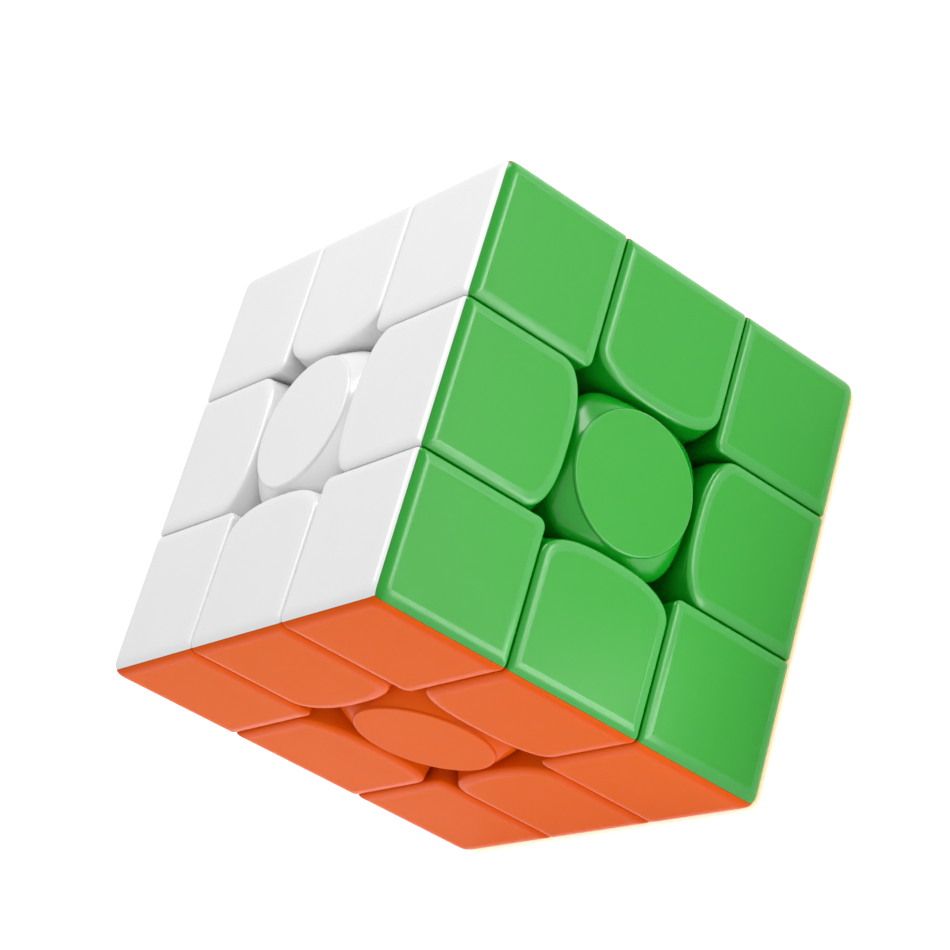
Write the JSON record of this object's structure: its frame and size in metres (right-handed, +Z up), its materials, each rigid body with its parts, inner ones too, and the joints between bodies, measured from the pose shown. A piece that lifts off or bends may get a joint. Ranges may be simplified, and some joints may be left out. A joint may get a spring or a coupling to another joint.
{
  "type": "twisty puzzle cube",
  "caption": "Stickerless twisty puzzle cube with round centres, arched edge blocks and coloured shells; every face turns on a screwed and sprung core.",
  "frame": {"origin": "middle of the yellow face, on which the cube stands", "axes": "+Z up to the white face, -Y out of the green face, -X out of the orange face, +X out of the red face"},
  "size_m": [0.056, 0.056, 0.056],
  "materials": {
    "white": "satin moulded ABS, coloured through",
    "yellow": "satin moulded ABS, coloured through",
    "green": "satin moulded ABS, coloured through",
    "blue": "satin moulded ABS, coloured through",
    "orange": "satin moulded ABS, coloured through",
    "red": "satin moulded ABS, coloured through",
    "corner_plastic": "satin moulded ABS; three shells in the colours of the faces that the corner shows",
    "core": "satin moulded nylon",
    "screw_steel": "zinc-plated steel",
    "spring_steel": "drawn spring wire"
  },
  "bodies": {
    "core": {"core": "core", "screw_white": "screw_steel", "screw_yellow": "screw_steel", "screw_green": "screw_steel", "screw_blue": "screw_steel", "screw_orange": "screw_steel", "screw_red": "screw_steel"},
    "turn_white": {"spring_white": "spring_steel"},
    "centre_white": {"centre_base_white": "white", "centre_cap_white": "white"},
    "turn_yellow": {"spring_yellow": "spring_steel"},
    "centre_yellow": {"centre_base_yellow": "yellow", "centre_cap_yellow": "yellow"},
    "turn_green": {"spring_green": "spring_steel"},
    "centre_green": {"centre_base_green": "green", "centre_cap_green": "green"},
    "turn_blue": {"spring_blue": "spring_steel"},
    "centre_blue": {"centre_base_blue": "blue", "centre_cap_blue": "blue"},
    "turn_orange": {"spring_orange": "spring_steel"},
    "centre_orange": {"centre_base_orange": "orange", "centre_cap_orange": "orange"},
    "turn_red": {"spring_red": "spring_steel"},
    "centre_red": {"centre_base_red": "red", "centre_cap_red": "red"},
    "edge_white_green": {"edge_white_green_shell_white": "white", "edge_white_green_shell_green": "green"},
    "edge_white_blue": {"edge_white_blue_shell_white": "white", "edge_white_blue_shell_blue": "blue"},
    "edge_white_orange": {"edge_white_orange_shell_white": "white", "edge_white_orange_shell_orange": "orange"},
    "edge_white_red": {"edge_white_red_shell_white": "white", "edge_white_red_shell_red": "red"},
    "edge_yellow_green": {"edge_yellow_green_shell_yellow": "yellow", "edge_yellow_green_shell_green": "green"},
    "edge_yellow_blue": {"edge_yellow_blue_shell_yellow": "yellow", "edge_yellow_blue_shell_blue": "blue"},
    "edge_yellow_orange": {"edge_yellow_orange_shell_yellow": "yellow", "edge_yellow_orange_shell_orange": "orange"},
    "edge_yellow_red": {"edge_yellow_red_shell_yellow": "yellow", "edge_yellow_red_shell_red": "red"},
    "edge_green_orange": {"edge_green_orange_shell_green": "green", "edge_green_orange_shell_orange": "orange"},
    "edge_green_red": {"edge_green_red_shell_green": "green", "edge_green_red_shell_red": "red"},
    "edge_blue_orange": {"edge_blue_orange_shell_blue": "blue", "edge_blue_orange_shell_orange": "orange"},
    "edge_blue_red": {"edge_blue_red_shell_blue": "blue", "edge_blue_red_shell_red": "red"},
    "corner_white_green_orange": {"corner_white_green_orange": "corner_plastic"},
    "corner_white_green_red": {"corner_white_green_red": "corner_plastic"},
    "corner_white_blue_orange": {"corner_white_blue_orange": "corner_plastic"},
    "corner_white_blue_red": {"corner_white_blue_red": "corner_plastic"},
    "corner_yellow_green_orange": {"corner_yellow_green_orange": "corner_plastic"},
    "corner_yellow_green_red": {"corner_yellow_green_red": "corner_plastic"},
    "corner_yellow_blue_orange": {"corner_yellow_blue_orange": "corner_plastic"},
    "corner_yellow_blue_red": {"corner_yellow_blue_red": "corner_plastic"}
  },
  "joints": [
    {"name": "turn_white", "type": "hinge", "parent": "core", "child": "turn_white", "pos_m": [0, 0, 0.028], "axis": [0, 0, 1], "continuous": true},
    {"name": "turn_yellow", "type": "hinge", "parent": "core", "child": "turn_yellow", "pos_m": [0, 0, 0.028], "axis": [0, 0, -1], "continuous": true},
    {"name": "turn_green", "type": "hinge", "parent": "core", "child": "turn_green", "pos_m": [0, 0, 0.028], "axis": [0, -1, 0], "continuous": true},
    {"name": "turn_blue", "type": "hinge", "parent": "core", "child": "turn_blue", "pos_m": [0, 0, 0.028], "axis": [0, 1, 0], "continuous": true},
    {"name": "turn_orange", "type": "hinge", "parent": "core", "child": "turn_orange", "pos_m": [0, 0, 0.028], "axis": [-1, 0, 0], "continuous": true},
    {"name": "turn_red", "type": "hinge", "parent": "core", "child": "turn_red", "pos_m": [0, 0, 0.028], "axis": [1, 0, 0], "continuous": true},
    {"name": "float_white", "type": "slide", "parent": "turn_white", "child": "centre_white", "axis": [0, 0, 1], "range_m": [0, 0.0006], "stiffness_N_per_m": 800, "deforming": ["spring_white"]},
    {"name": "float_yellow", "type": "slide", "parent": "turn_yellow", "child": "centre_yellow", "axis": [0, 0, -1], "range_m": [0, 0.0006], "stiffness_N_per_m": 800, "deforming": ["spring_yellow"]},
    {"name": "float_green", "type": "slide", "parent": "turn_green", "child": "centre_green", "axis": [0, -1, 0], "range_m": [0, 0.0006], "stiffness_N_per_m": 800, "deforming": ["spring_green"]},
    {"name": "float_blue", "type": "slide", "parent": "turn_blue", "child": "centre_blue", "axis": [0, 1, 0], "range_m": [0, 0.0006], "stiffness_N_per_m": 800, "deforming": ["spring_blue"]},
    {"name": "float_orange", "type": "slide", "parent": "turn_orange", "child": "centre_orange", "axis": [-1, 0, 0], "range_m": [0, 0.0006], "stiffness_N_per_m": 800, "deforming": ["spring_orange"]},
    {"name": "float_red", "type": "slide", "parent": "turn_red", "child": "centre_red", "axis": [1, 0, 0], "range_m": [0, 0.0006], "stiffness_N_per_m": 800, "deforming": ["spring_red"]},
    {"name": "edge_white_green_with_green", "type": "hinge", "parent": "turn_white", "child": "edge_white_green", "pos_m": [0, 0, 0.028], "axis": [0, -1, 0], "continuous": true},
    {"name": "edge_white_blue_with_blue", "type": "hinge", "parent": "turn_white", "child": "edge_white_blue", "pos_m": [0, 0, 0.028], "axis": [0, 1, 0], "continuous": true},
    {"name": "edge_white_orange_with_white", "type": "hinge", "parent": "turn_orange", "child": "edge_white_orange", "pos_m": [0, 0, 0.028], "axis": [0, 0, 1], "continuous": true},
    {"name": "edge_white_red_with_white", "type": "hinge", "parent": "turn_red", "child": "edge_white_red", "pos_m": [0, 0, 0.028], "axis": [0, 0, 1], "continuous": true},
    {"name": "edge_yellow_green_with_green", "type": "hinge", "parent": "turn_yellow", "child": "edge_yellow_green", "pos_m": [0, 0, 0.028], "axis": [0, -1, 0], "continuous": true},
    {"name": "edge_yellow_blue_with_blue", "type": "hinge", "parent": "turn_yellow", "child": "edge_yellow_blue", "pos_m": [0, 0, 0.028], "axis": [0, 1, 0], "continuous": true},
    {"name": "edge_yellow_orange_with_yellow", "type": "hinge", "parent": "turn_orange", "child": "edge_yellow_orange", "pos_m": [0, 0, 0.028], "axis": [0, 0, -1], "continuous": true},
    {"name": "edge_yellow_red_with_yellow", "type": "hinge", "parent": "turn_red", "child": "edge_yellow_red", "pos_m": [0, 0, 0.028], "axis": [0, 0, -1], "continuous": true},
    {"name": "edge_green_orange_with_orange", "type": "hinge", "parent": "turn_green", "child": "edge_green_orange", "pos_m": [0, 0, 0.028], "axis": [-1, 0, 0], "continuous": true},
    {"name": "edge_green_red_with_red", "type": "hinge", "parent": "turn_green", "child": "edge_green_red", "pos_m": [0, 0, 0.028], "axis": [1, 0, 0], "continuous": true},
    {"name": "edge_blue_orange_with_orange", "type": "hinge", "parent": "turn_blue", "child": "edge_blue_orange", "pos_m": [0, 0, 0.028], "axis": [-1, 0, 0], "continuous": true},
    {"name": "edge_blue_red_with_red", "type": "hinge", "parent": "turn_blue", "child": "edge_blue_red", "pos_m": [0, 0, 0.028], "axis": [1, 0, 0], "continuous": true},
    {"name": "corner_white_green_orange_with_white", "type": "hinge", "parent": "edge_green_orange", "child": "corner_white_green_orange", "pos_m": [0, 0, 0.028], "axis": [0, 0, 1], "continuous": true},
    {"name": "corner_white_green_red_with_white", "type": "hinge", "parent": "edge_green_red", "child": "corner_white_green_red", "pos_m": [0, 0, 0.028], "axis": [0, 0, 1], "continuous": true},
    {"name": "corner_white_blue_orange_with_white", "type": "hinge", "parent": "edge_blue_orange", "child": "corner_white_blue_orange", "pos_m": [0, 0, 0.028], "axis": [0, 0, 1], "continuous": true},
    {"name": "corner_white_blue_red_with_white", "type": "hinge", "parent": "edge_blue_red", "child": "corner_white_blue_red", "pos_m": [0, 0, 0.028], "axis": [0, 0, 1], "continuous": true},
    {"name": "corner_yellow_green_orange_with_orange", "type": "hinge", "parent": "edge_yellow_green", "child": "corner_yellow_green_orange", "pos_m": [0, 0, 0.028], "axis": [-1, 0, 0], "continuous": true},
    {"name": "corner_yellow_green_red_with_green", "type": "hinge", "parent": "edge_yellow_red", "child": "corner_yellow_green_red", "pos_m": [0, 0, 0.028], "axis": [0, -1, 0], "continuous": true},
    {"name": "corner_yellow_blue_orange_with_blue", "type": "hinge", "parent": "edge_yellow_orange", "child": "corner_yellow_blue_orange", "pos_m": [0, 0, 0.028], "axis": [0, 1, 0], "continuous": true},
    {"name": "corner_yellow_blue_red_with_red", "type": "hinge", "parent": "edge_yellow_blue", "child": "corner_yellow_blue_red", "pos_m": [0, 0, 0.028], "axis": [1, 0, 0], "continuous": true}
  ],
  "couplings": [
    {"joint": "edge_white_green_with_green", "follows": "turn_green", "ratio": 1},
    {"joint": "edge_white_blue_with_blue", "follows": "turn_blue", "ratio": 1},
    {"joint": "edge_white_orange_with_white", "follows": "turn_white", "ratio": 1},
    {"joint": "edge_white_red_with_white", "follows": "turn_white", "ratio": 1},
    {"joint": "edge_yellow_green_with_green", "follows": "turn_green", "ratio": 1},
    {"joint": "edge_yellow_blue_with_blue", "follows": "turn_blue", "ratio": 1},
    {"joint": "edge_yellow_orange_with_yellow", "follows": "turn_yellow", "ratio": 1},
    {"joint": "edge_yellow_red_with_yellow", "follows": "turn_yellow", "ratio": 1},
    {"joint": "edge_green_orange_with_orange", "follows": "turn_orange", "ratio": 1},
    {"joint": "edge_green_red_with_red", "follows": "turn_red", "ratio": 1},
    {"joint": "edge_blue_orange_with_orange", "follows": "turn_orange", "ratio": 1},
    {"joint": "edge_blue_red_with_red", "follows": "turn_red", "ratio": 1},
    {"joint": "corner_white_green_orange_with_white", "follows": "turn_white", "ratio": 1},
    {"joint": "corner_white_green_red_with_white", "follows": "turn_white", "ratio": 1},
    {"joint": "corner_white_blue_orange_with_white", "follows": "turn_white", "ratio": 1},
    {"joint": "corner_white_blue_red_with_white", "follows": "turn_white", "ratio": 1},
    {"joint": "corner_yellow_green_orange_with_orange", "follows": "turn_orange", "ratio": 1},
    {"joint": "corner_yellow_green_red_with_green", "follows": "turn_green", "ratio": 1},
    {"joint": "corner_yellow_blue_orange_with_blue", "follows": "turn_blue", "ratio": 1},
    {"joint": "corner_yellow_blue_red_with_red", "follows": "turn_red", "ratio": 1}
  ]
}
